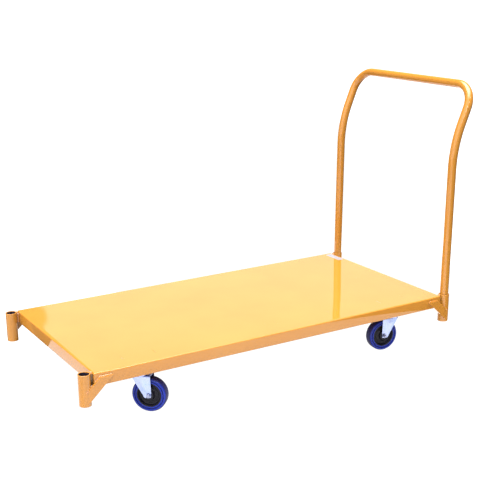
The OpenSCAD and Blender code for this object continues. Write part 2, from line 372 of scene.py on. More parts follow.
def dress(tree, shader, colour, gloss, layers):
    """Joins a colour, a roughness and a chain of bumps to the shader. Each bump is (height output,
    strength, depth in metres)."""
    tree.links.new(colour, shader.inputs["Base Color"])
    tree.links.new(gloss, shader.inputs["Roughness"])
    previous = None
    for height, strength, depth in layers:
        node = tree.nodes.new("ShaderNodeBump")
        node.inputs["Strength"].default_value = strength
        node.inputs["Distance"].default_value = depth
        tree.links.new(height, node.inputs["Height"])
        if previous:
            tree.links.new(previous, node.inputs["Normal"])
        previous = node.outputs["Normal"]
    tree.links.new(previous, shader.inputs["Normal"])
    tree.links.new(previous, shader.inputs["Coat Normal"])


def once(build):
    """Builds a finish out of the chosen colours the first time it is asked for, and returns the same one
    afterwards."""
    made = {}

    def finish():
        if "material" not in made:
            made["material"] = build(bpy.context.scene.trolley_paint)
        return made["material"]

    return finish


def orange_coat(look, name, bore=False):
    """Gloss orange powder coat: faint cloudiness in the colour, and orange peel in two sizes of bump.
    On the sockets the colour darkens down the bore to a near-black painted shade for the shade inside the tube."""
    coat = {"coat_weight": 1.0, "coat_roughness": 0.035, "coat_ior": 1.5, "specular_ior_level": 0.0}
    material, tree, shader = new_finish(name, **coat)
    colour = clouded(tree, look.coat_deep, look.coat_light, 5.0, 2.0)
    gloss = spread(tree, noise(tree, 70.0, 3.0), 0.2, 0.32)
    if bore:
        # The "bare" mask darkens the colour down the bore: painted shade for the shade inside the socket tube.
        speckle = spread(tree, noise(tree, 260.0, 4.0), -0.25, 0.25)
        added = combined(tree, "ADD", painted(tree, "bare"), speckle, clamp=True)
        bare = spread(tree, added, 0.0, 1.0, (0.35, 0.65))
        colour = blend(tree, bare, colour, look.bore_painted_shade)
    wave = noise(tree, 60.0, 1.0, 0.4)
    peel = noise(tree, 420.0, 1.5, 0.4)
    dress(tree, shader, colour, gloss, [(wave, 0.015, 0.001), (peel, 0.03, 0.0003)])
    return material


@once
def paint(look):
    return orange_coat(look, "orange_powder_coat")


@once
def socket_paint(look):
    return orange_coat(look, "orange_powder_coat_socket", bore=True)


@once
def slot_shade_paint(look):
    """Painted shade on the packers in the narrow slot beside each socket: dark brown with a dusting of orange,
    standing in for the shade in the slot.
    """
    material, tree, shader = new_finish("painted_shade_in_slot", coat_weight=0.3, coat_roughness=0.2)
    dust = spread(tree, noise(tree, 190.0, 4.0), 0.0, 0.35)
    colour = blend(tree, dust, look.slot_painted_shade, look.coat_deep)
    gloss = spread(tree, dust, 0.35, 0.6, (0.0, 0.35))
    dress(tree, shader, colour, gloss, [(noise(tree, 600.0, 3.0), 0.2, 0.0003)])
    return material


@once
def bead_paint(look):
    """The same coat on the weld beads, wetter, and deeper in colour: the deeper colour is painted shade for the
    dark edges of the ripples.
    """
    material, tree, shader = new_finish("orange_coat_on_weld", coat_weight=1.0, coat_roughness=0.03)
    colour = clouded(tree, look.coat_weld_shaded, look.coat_deep, 160.0, 3.0)
    gloss = spread(tree, noise(tree, 90.0), 0.1, 0.2)
    dress(tree, shader, colour, gloss, [(noise(tree, 300.0, 2.0), 0.25, 0.0005)])
    return material


def plated(name, colour, tint, rough, grain=(1.0, 1.0, 1.0)):
    """Zinc or steel: slight clouds of a second tint, streaky gloss and a fine rolled grain."""
    material, tree, shader = new_finish(name, metallic=1.0)
    colour = clouded(tree, colour, tint, 45.0, 5.0, 0.6)
    gloss = spread(tree, noise(tree, 130.0, 4.0, 0.6, stretch=grain), *rough)
    rolled = noise(tree, 900.0, 2.0, 0.5, stretch=grain)
    dress(tree, shader, colour, gloss, [(rolled, 0.08, 0.0002)])
    return material


@once
def zinc(look):
    return plated("bright_zinc_plate", look.zinc_light, look.zinc_blue, (0.24, 0.4), (1.0, 1.0, 0.25))


@once
def fastener_zinc(look):
    return plated("fastener_zinc", look.zinc_grey, look.zinc_light, (0.22, 0.34))


@once
def bright_steel(look):
    return plated("bright_bearing_steel", look.steel, look.steel_light, (0.14, 0.26))


@once
def nylon(look):
    """Black moulded nylon: satin, faintly mottled where the melt flowed, with a fine eroded texture."""
    material, tree, shader = new_finish("black_moulded_nylon", specular_ior_level=0.18)
    colour = clouded(tree, look.nylon_dark, look.nylon_light, 35.0, 4.0, 0.6)
    gloss = spread(tree, noise(tree, 60.0, 3.0), 0.3, 0.45)
    dress(tree, shader, colour, gloss, [(noise(tree, 1400.0, 2.0), 0.15, 0.0002)])
    return material


@once
def rubber(look):
    """Blue elastic rubber: the walls are clean; the tread and a groove in each wall are darker with painted shade,
    and the tread is duller.
    """
    material, tree, shader = new_finish("blue_elastic_rubber", specular_ior_level=0.22)
    tread = painted(tree, "tread")
    wall = clouded(tree, look.rubber_blue, look.rubber_light, 40.0, 4.0, 0.6)
    colour = blend(tree, tread, wall, look.rubber_painted_shade)
    gloss = spread(tree, tread, 0.34, 0.5, (0.0, 1.0))
    dress(tree, shader, colour, gloss, [(noise(tree, 1100.0, 3.0), 0.12, 0.0003)])
    return material


@once
def label_film(look):
    """Blank white film with the faintest fibre in it."""
    material, tree, shader = new_finish("blank_label_film")
    fibre = spread(tree, noise(tree, 220.0, 4.0), 0.0, 1.0)
    darker = [0.95 * c for c in look.label_white]
    colour = blend(tree, fibre, darker, look.label_white)
    gloss = spread(tree, fibre, 0.35, 0.45, (0.0, 1.0))
    dress(tree, shader, colour, gloss, [(noise(tree, 700.0, 2.0), 0.1, 0.0001)])
    return material


def pale_ground(name, shade, glow):
    """Matt white ground: faint clouds in its shade, and enough glow of its own to stay white in
    shadow."""
    matt = {"roughness": 0.8, "specular_ior_level": 0.0, "emission_strength": glow}
    material, tree, shader = new_finish(name, **matt)
    shader.inputs["Emission Color"].default_value = (1.0, 1.0, 1.0, 1.0)
    cloud = spread(tree, noise(tree, 0.6, 2.0), 0.0, 1.0)
    tree.links.new(blend(tree, cloud, (0.97 * shade,) * 3, (shade,) * 3), shader.inputs["Base Color"])
    return material


# ---- sizes and colours a user would change ----


def length(name, description, default):
    look = {"unit": "LENGTH", "subtype": "DISTANCE"}
    return FloatProperty(name=name, description=description, default=default, **look)


def angle(name, description, degrees):
    look = {"unit": "ROTATION", "subtype": "ANGLE"}
    return FloatProperty(name=name, description=description, default=math.radians(degrees), **look)


def colour(name, description, default):
    look = {"subtype": "COLOR", "min": 0.0, "max": 1.0}
    return FloatVectorProperty(name=name, description=description, default=default, **look)


def brightness(name, place, default):
    return FloatProperty(name=name, description=f"Brightness of {place}", default=default)


class TrolleyDeckSettings(bpy.types.PropertyGroup):
    sheet: length("Sheet", "Thickness of the deck sheet", 3 * MM)
    fold: length("Fold", "Outside radius of the folds", 4.5 * MM)
    lip: length("Lip", "Width of the lip turned in under the skirt", 15 * MM)
    corner: length("Corner", "Radius of the dressed upright corners", 2.2 * MM)
    wave: length("Wave", "Height of the waviness left in the sheet", 0.3 * MM)
    edge_dip: length("Edge dip", "How far the sheet dips towards its side at -Y", 1.8 * MM)
    channel_bend: length("Channel bend", "Outside radius of the cross members' bends", 6 * MM)


class TrolleyCornerSettings(bpy.types.PropertyGroup):
    rim: length("Rim", "Radius of the dressed socket ends", 0.9 * MM)
    strap: length("Strap", "Thickness of the corner straps", 8 * MM)
    strap_cut: length("Strap cut", "Length of the level cut at a strap's top", 48 * MM)
    strap_drop: length("Strap drop", "Drop of that cut below the deck top", 16 * MM)
    strap_slope: angle("Strap slope", "Slope of the strap", 43)
    strap_past: length("Strap past", "How far a strap runs past the socket's axis", 7 * MM)
    bead: length("Weld bead", "Radius of the weld beads", 3.0 * MM)
    ripple: length("Weld ripple", "Distance between two ripples of a weld", 3.4 * MM)


class TrolleyHandleSettings(bpy.types.PropertyGroup):
    radius: length("Tube radius", "Radius of the handle tube", 16.85 * MM)
    wall: length("Tube wall", "Wall of the handle tube", 2.6 * MM)
    grip: length("Grip height", "Height of the grip bar's axis above the deck", 824 * MM)
    crank_start: length("Crank start", "Height above the deck where the legs start to crank", 505 * MM)
    crank_radius: length("Crank radius", "Bend radius of the crank", 480 * MM)
    crank_angle: angle("Crank angle", "Angle of the crank away from the deck", 22)
    corner_radius: length("Corner radius", "Bend radius of the top corners", 90 * MM)
    foot: length("Foot", "Height of the legs' ends above the socket's foot", 4.5 * MM)


class TrolleyCastorSettings(bpy.types.PropertyGroup):
    fork_gap: length("Fork gap", "Clear width between the fork's cheeks", 44 * MM)
    fork_sheet: length("Fork sheet", "Thickness of the fork's sheet", 2.5 * MM)
    crown: length("Crown height", "Height of the fork's crown above the floor", 133 * MM)
    cup: length("Cup radius", "Radius of the swivel head's cup", 35 * MM)
    rim: length("Rim radius", "Radius of the wheel centre under the tyre", 44.6 * MM)
    hex_corner: length("Hexagon", "Radius of the bolt heads over their corners", 7.5 * MM)
    recess: length("Axle recess", "Depth of the recess pressed round the axle", 0.9 * MM)


class TrolleyPaintSettings(bpy.types.PropertyGroup):
    coat_light: colour("Coat", "Powder coat", (0.348, 0.148, 0.0200))
    coat_deep: colour("Coat, deep", "Powder coat where it is thickest", (0.335, 0.137, 0.0175))
    # Deeper colour on the weld beads: painted shade.
    coat_weld_shaded: colour("Coat on weld", "Powder coat on the weld beads", (0.33, 0.100, 0.008))
    # Painted shade down the socket bores.
    bore_painted_shade: colour("Bore shade", "Painted shade down the socket bores", (0.022, 0.018, 0.03))
    zinc_light: colour("Zinc", "Bright zinc plate", (0.35, 0.385, 0.57))
    zinc_blue: colour("Zinc, blue", "Zinc where the passivation is bluer", (0.27, 0.34, 0.55))
    zinc_grey: colour("Zinc, grey", "Zinc on the fasteners", (0.13, 0.13, 0.16))
    steel: colour("Steel", "Bearing steel", (0.6, 0.61, 0.64))
    steel_light: colour("Steel, light", "Paler clouds in the bearing steel", (0.7, 0.7, 0.72))
    nylon_dark: colour("Nylon", "Wheel centres", (0.004, 0.004, 0.007))
    nylon_light: colour("Nylon, flow", "Wheel centres where the melt flowed", (0.008, 0.007, 0.013))
    rubber_blue: colour("Rubber", "Tyre walls", (0.003, 0.012, 0.18))
    rubber_light: colour("Rubber, light", "Paler clouds in the tyre walls", (0.005, 0.017, 0.21))
    # Painted shade on the tread and in the wall grooves.
    rubber_painted_shade: colour("Rubber, tread", "Painted shade on the tread and in the wall grooves", (0.004, 0.005, 0.055))
    # Painted shade in the slot beside each socket.
    slot_painted_shade: colour("Slot", "Painted shade in the slot beside each socket", (0.028, 0.018, 0.006))
    label_white: colour("Label", "Blank label film", (0.20, 0.198, 0.225))


class TrolleyStageSettings(bpy.types.PropertyGroup):
    floor: length("Floor", "Half width of the floor", 150.0)
    lens: FloatProperty(name="Lens", description="Focal length", default=75.49, unit="CAMERA")
    azimuth: angle("Azimuth", "Direction the camera looks, turned from +Y", -30.955)
    elevation: angle("Elevation", "How far the camera looks down", 17.155)
    roll: angle("Roll", "Turn of the camera about its line of sight", -0.525)
    shift: FloatProperty(name="Shift", description="Upward shift of the lens", default=0.0729167)
    paper: length("Paper", "Width of the paper on the floor", 2.1)
    paper_run: length("Paper run", "How far the paper runs each way", 6.0)
    wing: length("Wing", "Width of the paper's wing beside the front end", 1.6)
    room: brightness("Room", "the room", 0.15)
    ceiling: brightness("Ceiling", "the soft light overhead", 17.0)
    side: brightness("Side", "the soft light at the front end", 3.0)
    backdrop: brightness("Backdrop", "the backdrop", 1.0)
    lamps: brightness("Lamps", "the bare lamps", 14.0)


SETTINGS = {
    "trolley_deck": TrolleyDeckSettings,
    "trolley_corner": TrolleyCornerSettings,
    "trolley_handle": TrolleyHandleSettings,
    "trolley_castor": TrolleyCastorSettings,
    "trolley_paint": TrolleyPaintSettings,
    "trolley_stage": TrolleyStageSettings,
}


# ---- deck ----


def rounded_rectangle(half_x, half_y, radius, spacing):
    """Closed outline of a rectangle about the origin, with arcs at its corners and points along its
    sides."""
    corners = [(half_x, -half_y), (half_x, half_y), (-half_x, half_y), (-half_x, -half_y)]
    corners = softened(corners, radius, 6)
    following = np.roll(corners, -1, axis=0)
    gap = np.linalg.norm(following - corners, axis=1)
    count = np.maximum(1, (gap / spacing).astype(int))
    start = np.repeat(corners, count, axis=0)
    end = np.repeat(following, count, axis=0)
    share = np.concatenate([np.arange(n) / n for n in count])
    return start + (end - start) * share[:, None]


def sheet_wave(x, y):
    """Height left in the sheet by rolling, folding and welding: two slow waves that fade to nothing
    at the folds, and a dip towards the side at -Y that grows as the square of the distance and fades
    towards the ends."""
    deck = bpy.context.scene.trolley_deck
    across = np.abs(y) / DECK_HALF.y
    along = np.abs(x) / DECK_HALF.x
    fade = smooth_step((1 - across) / 0.12) * smooth_step((1 - along) / 0.06)
    slow = np.sin(4.1 * x + 1.3) * np.cos(6.3 * y - 0.4)
    slow = slow + 0.6 * np.sin(9.2 * x - 0.8 + 2.0 * y) * np.sin(7.9 * y + 2.1)
    dip = np.clip((-y / DECK_HALF.y - 0.4) / 0.6, 0, 1) ** 2
    return deck.wave * slow * fade * 0.7 - deck.edge_dip * dip * smooth_step((1 - along) / 0.1)


class TrolleyDeck(bpy.types.Operator):
    """Folds the deck sheet: a wavy flat, rounded folds, skirts and turned-in lips, in one closed
    surface. Its section is rows of how far in from the rim and how far down, and each row is a ring
    round the deck."""

    bl_idname = "trolley.deck"
    bl_label = "Deck sheet"

    def execute(self, context):
        deck = context.scene.trolley_deck
        sheet, fold = deck.sheet, deck.fold
        depth = DECK_HIGH.z - DECK_LOW.z
        inner = fold - sheet
        lip_end, lip_top = sheet + deck.lip, depth - sheet
        nick = 0.8 * MM
        quarter = np.linspace(0, math.pi / 2, 7)
        falling, rising = 1 - np.sin(quarter), 1 - np.cos(quarter)
        lip = [(lip_end - nick, depth), (lip_end, depth - nick), (lip_end, lip_top + nick)]
        section = np.concatenate([
            np.c_[fold * falling, fold * rising],
            np.c_[fold * rising, depth - fold * falling],
            [*lip, (lip_end - nick, lip_top)],
            np.c_[sheet + inner * falling, lip_top - inner * rising],
            np.c_[sheet + inner * rising, sheet + inner * falling],
        ])
        inset, drop = section[:, 0, None], section[:, 1, None]
        rim = rounded_rectangle(DECK_HALF.x, DECK_HALF.y, deck.corner, 10 * MM)
        walls = rim * (1 - inset[..., None] / np.array([DECK_HALF.x, DECK_HALF.y]))
        shares = 1 - (1 - np.linspace(0, 1, 46)[1:-1, None, None]) ** 1.15
        top = lifted(walls[0] * shares, DECK_TOP)
        under = lifted(walls[-1] * shares[::-1], DECK_TOP - sheet)
        grid = np.concatenate([top, lifted(walls, DECK_TOP - drop), under])
        share = np.clip((grid[..., 2] - DECK_LOW.z) / lip_top, 0, 1)
        grid[..., 2] += sheet_wave(grid[..., 0], grid[..., 1]) * share
        middle = DECK_TOP + sheet_wave(np.zeros(1), np.zeros(1))[0]
        poles = [[0, 0, middle], [0, 0, middle - sheet]]
        points = np.concatenate([grid.reshape(-1, 3), poles]) + DECK_CENTRE
        shell = points, [grid_faces(*grid.shape[:2]), *pole_faces(*grid.shape[:2])]
        add_piece("deck_pan", [shell], paint(), "platform", "orange_paint", ["deck_sheet"], sharp=50)
        return {"FINISHED"}


class TrolleyLabel(bpy.types.Operator):
    """Lays the blank label: a thin film with rounded corners that follows the sheet."""

    bl_idname = "trolley.label"
    bl_label = "Label"

    def execute(self, context):
        low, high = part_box("deck_label")
        middle = (low + high) / 2
        outline = rounded_rectangle((high.x - low.x) / 2, (high.y - low.y) / 2, 3 * MM, 6 * MM)
        rings = outline * np.linspace(1, 0.05, 10)[:, None, None] + np.array([middle.x, middle.y])
        height = DECK_TOP + sheet_wave(rings[..., 0] - DECK_MIDDLE.x, rings[..., 1] - DECK_MIDDLE.y)
        below, above = lifted(rings, height - 0.1 * MM), lifted(rings, height + 0.15 * MM)
        shell = capped(np.concatenate([below[::-1], above]))
        add_piece("blank_label", [shell], label_film(), "platform", "label_film", ["deck_label"])
        return {"FINISHED"}


def rib_boxes():
    """Lowest and highest corner of each of the three ribs, which are spread evenly along the deck."""
    low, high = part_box("deck_ribs")
    starts = np.linspace(low.x, high.x - RIB_WIDTH, 3)
    return [(Vector((x, low.y, low.z)), Vector((x + RIB_WIDTH, high.y, high.z))) for x in starts]


def channel(low, high, sheet, bend):
    """Folded channel, open side up, carried along Y between the corners of a box: its outline follows the
    outside down, across and up, and comes back along the inside."""
    x0, x1, z0, z1 = low.x, high.x, low.z, high.z
    outline = [(x0, z1), (x0, z0), (x1, z0), (x1, z1), (x1 - sheet, z1), (x1 - sheet, z0 + sheet)]
    outline += [(x0 + sheet, z0 + sheet), (x0 + sheet, z1)]
    edge = 0.5 * MM
    inner = max(bend - sheet, edge)
    outline = softened(outline, [edge, bend, bend, edge, edge, inner, inner, edge])
    path = np.zeros((9, 3))
    path[:, 1] = np.linspace(low.y, high.y, 9)
    return carried(path, (1, 0, 0), outline * (1, -1), direction=np.tile((0.0, 1.0, 0.0), (9, 1)))


class TrolleyCrossMembers(bpy.types.Operator):
    """Folds the two castor rails and the three ribs under the deck."""

    bl_idname = "trolley.cross_members"
    bl_label = "Cross members"

    def execute(self, context):
        deck = context.scene.trolley_deck
        for end in ("front", "rear"):
            node = f"{end}_castor_rail"
            rail = channel(*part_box(node), RAIL_SHEET, deck.channel_bend)
            add_piece(f"{end}_rail", [rail], paint(), "platform", "orange_paint", [node])
        ribs = [channel(low, high, deck.sheet, deck.channel_bend) for low, high in rib_boxes()]
        add_piece("folded_ribs", ribs, paint(), "platform", "orange_paint", ["deck_ribs"])
        return {"FINISHED"}


# ---- corners ----


class TrolleySockets(bpy.types.Operator):
    """Turns the four corner sockets: tubes with dressed ends, coated outside, with a painted shade further down
    the bore."""

    bl_idname = "trolley.sockets"
    bl_label = "Sockets"

    def execute(self, context):
        corner = context.scene.trolley_corner
        foot, top, bore, outside = SOCKET_FOOT, DECK_TOP, SOCKET_BORE, SOCKET_OUTER
        ends = softened([(bore, foot), (outside, foot), (outside, top), (bore, top)], corner.rim, 6)
        levels = np.linspace(foot, top, 29)[1:-1]
        outer = np.c_[np.full(27, outside), levels]
        inner = np.c_[np.full(27, bore), levels[::-1]]
        profile = np.concatenate([ends[:12], outer, ends[12:], inner])
        for name, (x_sign, y_sign) in SIDES.items():
            centre = (DECK_MIDDLE.x + x_sign * SOCKET_X, DECK_MIDDLE.y + y_sign * SOCKET_Y, 0)
            shell = turned(profile, centre, UP, steps=72)
            look = socket_paint(), "platform", "orange_paint", [f"{name}_socket"]
            piece = add_piece(f"{name}_tube_socket", [shell], *look)
            x, y, z = (shell[0] - centre).T
            # Mask for the painted shade down the bore, read as "bare" by the socket's finish.
            depth = smooth_step((top - 0.7 * MM - z) / (1.5 * MM))
            mark(piece, "bare", np.where(np.hypot(x, y) < bore + 0.5 * MM, depth, 0.0))
        return {"FINISHED"}


def strap_line(corner):
    """Where a strap starts and ends along the deck, where its upper edge turns down, its slope, and
    the height of the level cut at its top. The lower edge slopes all the way."""
    slope = math.tan(corner.strap_slope)
    top = DECK_TOP - corner.strap_drop
    end = SOCKET_X + corner.strap_past
    start = end - (top - SOCKET_FOOT) / slope
    return start, start + corner.strap_cut, end, slope, top


def socket_wall(x):
    """Y of the socket's outer wall at x: the circle round its axis."""
    return SOCKET_Y + np.sqrt(np.clip(SOCKET_OUTER**2 - (x - SOCKET_X) ** 2, 0, None))


class TrolleyStraps(bpy.types.Operator):
    """Cuts the four flat straps: coped over the socket and dressed down flush with its wall."""

    bl_idname = "trolley.straps"
    bl_label = "Straps"

    def execute(self, context):
        corner = context.scene.trolley_corner
        start, kink, end, slope, top = strap_line(corner)
        x = np.concatenate([np.linspace(start + 1.2 * MM, kink, 14), np.linspace(kink, end, 40)[1:]])
        lower = top - (x - start) * slope
        upper = top - np.maximum(0, x - kink) * slope
        z = lower[:, None] + (upper - lower)[:, None] * np.linspace(0, 1, 12)
        inner = np.maximum(DECK_HALF.y, socket_wall(x) - 0.4 * MM)
        flush = socket_wall(end) + 0.15 * MM
        dressed = 24 * MM
        outer = DECK_HALF.y + corner.strap
        outer = outer - (outer - flush) * smooth_step((x - (end - dressed)) / dressed)
        inner = np.minimum(inner, outer - 0.3 * MM)
        faces = [np.broadcast_arrays(x[:, None], y[:, None], z) for y in (inner, outer)]
        far, near = (np.stack(face, axis=-1) for face in faces)
        for name in CORNERS:
            shell = mirrored(slab(far, near), *SIDES[name])
            node = f"{name}_strap"
            look = paint(), "platform", "orange_paint", [node]
            add_piece(f"{name}_flat_strap", [shell], *look, bevel=0.7 * MM)
        return {"FINISHED"}


def bead(points, normal, radius, phase=0.0, flat=0.75, taper=(0.35, 0.35)):
    """Weld bead along a line of points: an ellipse carried along it, its size rising and falling once per
    ripple, with the crest of each ripple bowed along the bead, and both ends tapered. The line is first
    rounded by a running mean over a twelfth of its length."""
    corner = bpy.context.scene.trolley_corner
    points = np.asarray(points, float)
    step = np.linalg.norm(np.diff(points, axis=0), axis=1)
    travel = np.concatenate([[0], np.cumsum(step)])
    count = max(12, int(travel[-1] / (0.55 * MM)))
    s = np.linspace(0, travel[-1], count)
    path = np.stack([np.interp(s, travel, points[:, k]) for k in range(3)], axis=1)
    width = max(3, count // 24)
    kernel = np.ones(2 * width + 1) / (2 * width + 1)
    padded = np.pad(path, ((width, width), (0, 0)), mode="edge")
    path = np.stack([np.convolve(padded[:, k], kernel, mode="valid") for k in range(3)], axis=1)
    ring = circle(1.0, 16)
    lag = 0.9 * ring[:, 0] ** 2
    ripple = 1 + 0.11 * np.sin(2 * math.pi * (s[:, None] / corner.ripple - lag) + phase)
    drift = 1 + 0.13 * np.sin(s / (4.7 * corner.ripple) + 2.3 * phase)
    ends = np.minimum(1, s / (2.5 * MM) + taper[0]) * np.minimum(1, (s[-1] - s) / (2.5 * MM) + taper[1])
    size = radius * ripple * (drift * ends)[:, None]
    direction = np.gradient(path, axis=0)
    direction /= np.linalg.norm(direction, axis=1, keepdims=True)
    normal = np.asarray(normal, float)
    normal = normal - direction * (direction @ normal)[:, None]
    normal /= np.linalg.norm(normal, axis=1, keepdims=True)
    outline = np.stack([flat * size * ring[:, 0], size * ring[:, 1]], axis=-1)
    return carried(path, normal, outline, direction=direction)


def corner_beads(corner):
    """The beads of the +X, +Y corner: along the strap's upper edge, where it meets the socket above
    and below, and up, over and under the packer."""
    start, kink, end, slope, top = strap_line(corner)
    skirt, face_x, wall_x = DECK_HALF.y, DECK_HALF.x, SOCKET_X - SOCKET_OUTER
    size, lift = corner.bead, 0.8 * MM
    last = face_x - 1 * MM
    upper = [(start + 3 * MM, skirt + 2 * MM, top + lift), (kink, skirt + 2 * MM, top + lift)]
    upper += [(last, skirt + 1.6 * MM, top - (last - kink) * slope + lift)]
    over = np.linspace(wall_x + 3 * MM, end - 2 * MM, 12)
    wedge = np.stack([over, socket_wall(over) - 0.8 * MM, top - (over - kink) * slope + 1.4 * MM], axis=1)
    low = np.linspace(wall_x + 1 * MM, SOCKET_X - 4 * MM, 10)
    low_y = np.maximum(socket_wall(low), skirt - 3 * MM) + 0.5 * MM
    under = np.stack([low, low_y, top - (low - start) * slope - 0.5 * MM], axis=1)
    x = (face_x + wall_x) / 2
    near, far = SOCKET_Y - 6 * MM, SOCKET_Y + 6 * MM
    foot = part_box("socket_packers")[0].z
    up_packer = [(x, near, foot + 1 * MM), (x, near, DECK_TOP - 4 * MM)]
    over_packer = [(x, near - 1 * MM, DECK_TOP - 3.6 * MM), (x, far, DECK_TOP - 3.6 * MM)]
    return [
        bead(upper, (0, 1, 0.6), size, 0.4),
        bead(wedge, (0, 1, 0.5), size * 0.95, 1.1, taper=(1.0, 0.15)),
        bead(under, (0, 1, -0.4), size * 0.6, 2.0),
        bead(up_packer, (0, -1, 0), size * 1.6, 0.2, flat=0.65),
        bead(over_packer, UP, size * 1.35, 0.9, flat=1.1),
        bead([(x, near, foot), (x, far, foot)], DOWN, size * 1.2, 2.4),
    ]


class TrolleyWelds(bpy.types.Operator):
    """Lays the weld beads: round each corner, and stitches along the cross members."""

    bl_idname = "trolley.welds"
    bl_label = "Welds"

    def execute(self, context):
        corner = context.scene.trolley_corner
        for name in CORNERS:
            shells = [mirrored(shell, *SIDES[name]) for shell in corner_beads(corner)]
            add_piece(f"{name}_welds", shells, bead_paint(), "platform", "orange_paint", sharp=60)
        under = DECK_TOP - context.scene.trolley_deck.sheet
        size = corner.bead * 0.9
        stitches = []

        def stitch(low, high, inset, count, half, phase):
            """Short beads along both sides of a cross member, where it meets the sheet."""
            for x, side in ((low.x, -1), (high.x, 1)):
                for y in np.linspace(low.y + inset, high.y - inset, count):
                    line = [(x, y - half, under), (x, y + half, under)]
                    stitches.append(bead(line, (side, 0, -1), size, phase(y)))

        for end in ("front", "rear"):
            low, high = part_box(f"{end}_castor_rail")
            stitch(low, high, 60 * MM, 5, 18 * MM, lambda y: y * 9)
            for y in (low.y, high.y):
                line = [(low.x + 12 * MM, y, low.z + 1 * MM), (high.x - 12 * MM, y, low.z + 1 * MM)]
                stitches.append(bead(line, DOWN, size * 0.8, y * 7, flat=0.8))
        for k, (low, high) in enumerate(rib_boxes()):
            stitch(low, high, 90 * MM, 4, 14 * MM, lambda y: y * 5 + k)
            for x, side in ((low.x, -1), (high.x, 1)):
                for y in (low.y, high.y):
                    line = [(x, y, low.z + 5 * MM), (x, y, high.z - 3 * MM)]
                    stitches.append(bead(line, (side, 0, 0), size, x * 5))
        add_piece("under_deck_welds", stitches, bead_paint(), "platform", "orange_paint", sharp=60)
        return {"FINISHED"}


# ---- handle ----


def handle_line(handle):
    """Centre line, direction and side vector of the handle, from one foot to the other: a straight
    leg, the crank's arc in the X-Z plane, a straight run, the top corner's arc and the grip bar, and
    then the same mirrored in Y. All of it leans with the sockets' play."""
    crank = handle.crank_angle
    arc_z = handle.crank_radius * math.sin(crank)
    run = (handle.grip - handle.crank_start - arc_z) / math.cos(crank) - handle.corner_radius
    foot = SOCKET_FOOT + handle.foot
    start = DECK_TOP + handle.crank_start
    up = np.array([math.sin(crank), 0, math.cos(crank)])
    side = np.array([0.0, 1.0, 0.0])
    base = np.array([0.0, -SOCKET_Y, 0.0])
    z = np.linspace(foot, start, 60)[:-1]
    leg = base + np.stack([0 * z, 0 * z, z], axis=1)
    phi = np.linspace(0, crank, 40)
    arc = handle.crank_radius * np.stack([1 - np.cos(phi), 0 * phi, np.sin(phi)], axis=1)
    arc = base + np.array([0, 0, start]) + arc
    s = np.linspace(0, run, 12)[1:-1]
    straight = arc[-1] + s[:, None] * up
    psi = np.linspace(0, math.pi / 2, 40)
    knee = arc[-1] + run * up
    bend = np.sin(psi)[:, None] * up + (1 - np.cos(psi))[:, None] * side
    bend = knee + handle.corner_radius * bend
    bar = np.linspace(bend[-1, 1], 0, 24)[1:]
    grip = np.stack([np.full(23, bend[-1, 0]), bar, np.full(23, bend[-1, 2])], axis=1)
    line = np.concatenate([leg, arc, straight, bend, grip])
    direction = np.concatenate([
        np.tile((0.0, 0.0, 1.0), (len(leg), 1)),
        np.stack([np.sin(phi), 0 * phi, np.cos(phi)], axis=1),
        np.tile(up, (len(straight), 1)),
        np.cos(psi)[:, None] * up + np.sin(psi)[:, None] * side,
        np.tile(side, (len(grip), 1)),
    ])
    tilt = np.full(len(line), crank)
    tilt[: len(leg)] = 0
    tilt[len(leg) : len(leg) + len(arc)] = phi
    oval = np.zeros(len(line))
    oval[-len(grip) - len(bend) : -len(grip)] = np.sin(2 * psi) ** 0.5
    across = np.stack([np.cos(tilt), 0 * tilt, -np.sin(tilt)], axis=1)
    flip = np.array([1, -1, 1])
    line = np.concatenate([line, line[-2::-1] * flip])
    direction = np.concatenate([direction, -direction[-2::-1] * flip])
    across = np.concatenate([across, across[-2::-1]])
    oval = np.concatenate([oval, oval[-2::-1]])
    return line, direction, across, oval


def leaned(vectors, pivot_z=0.0):
    """Turned about the Y axis by the handle's lean, about a point on the socket's axis."""
    axis = JOINTS["handle_lift"]["axis"]
    sin, cos = axis[0], axis[2]
    x, z = vectors[:, 0], vectors[:, 2] - pivot_z
    return np.stack([x * cos + z * sin, vectors[:, 1], pivot_z - x * sin + z * cos], axis=1)


class TrolleyHandle(bpy.types.Operator):
    """Bends the push handle: one tube, drawn a little oval in its two tight corners, its ends dressed
    and open. The outside is carried there, the wall's end turned in, the inside carried back, and the
    other end turned out."""

    bl_idname = "trolley.handle"
    bl_label = "Push handle"

    def execute(self, context):
        handle = context.scene.trolley_handle
        line, direction, across, oval = handle_line(handle)
        line = leaned(line, SOCKET_MIDDLE.z) + np.array([SOCKET_MIDDLE.x, DECK_MIDDLE.y, 0])
        direction = leaned(direction)
        across = leaned(across)
        edge = 0.5 * MM
        outer = circle(handle.radius, 48) * np.stack([1 + 0.006 * oval, 1 - 0.03 * oval], axis=1)[:, None]
        bore = handle.radius - handle.wall
        inner = circle(bore, 48) * np.stack([1 + 0 * oval, 1 - 0.03 * oval], axis=1)[:, None]
        lip = np.array([handle.radius - edge, bore + edge])
        shrink = lip[:, None, None] * circle(1.0, 48)
        step = direction[0] * edge
        path = np.concatenate([line[:1] + step, line[1:-1], line[-1:] - direction[-1] * edge])
        path = np.concatenate([path, line[-1:], line[-1:], path[::-1], line[:1], line[:1]])
        outline = np.concatenate([outer, shrink, inner[::-1], shrink[::-1]])
        direction = np.concatenate([direction, direction[[-1, -1]], direction[::-1], direction[[0, 0]]])
        across = np.concatenate([across, across[[-1, -1]], across[::-1], across[[0, 0]]])
        shell = carried(path, across, outline, direction=direction, hollow=True)
        add_piece("bent_handle", [shell], paint(), "handle", "orange_paint", ["push_handle"], sharp=50)
        return {"FINISHED"}


# ---- castors ----


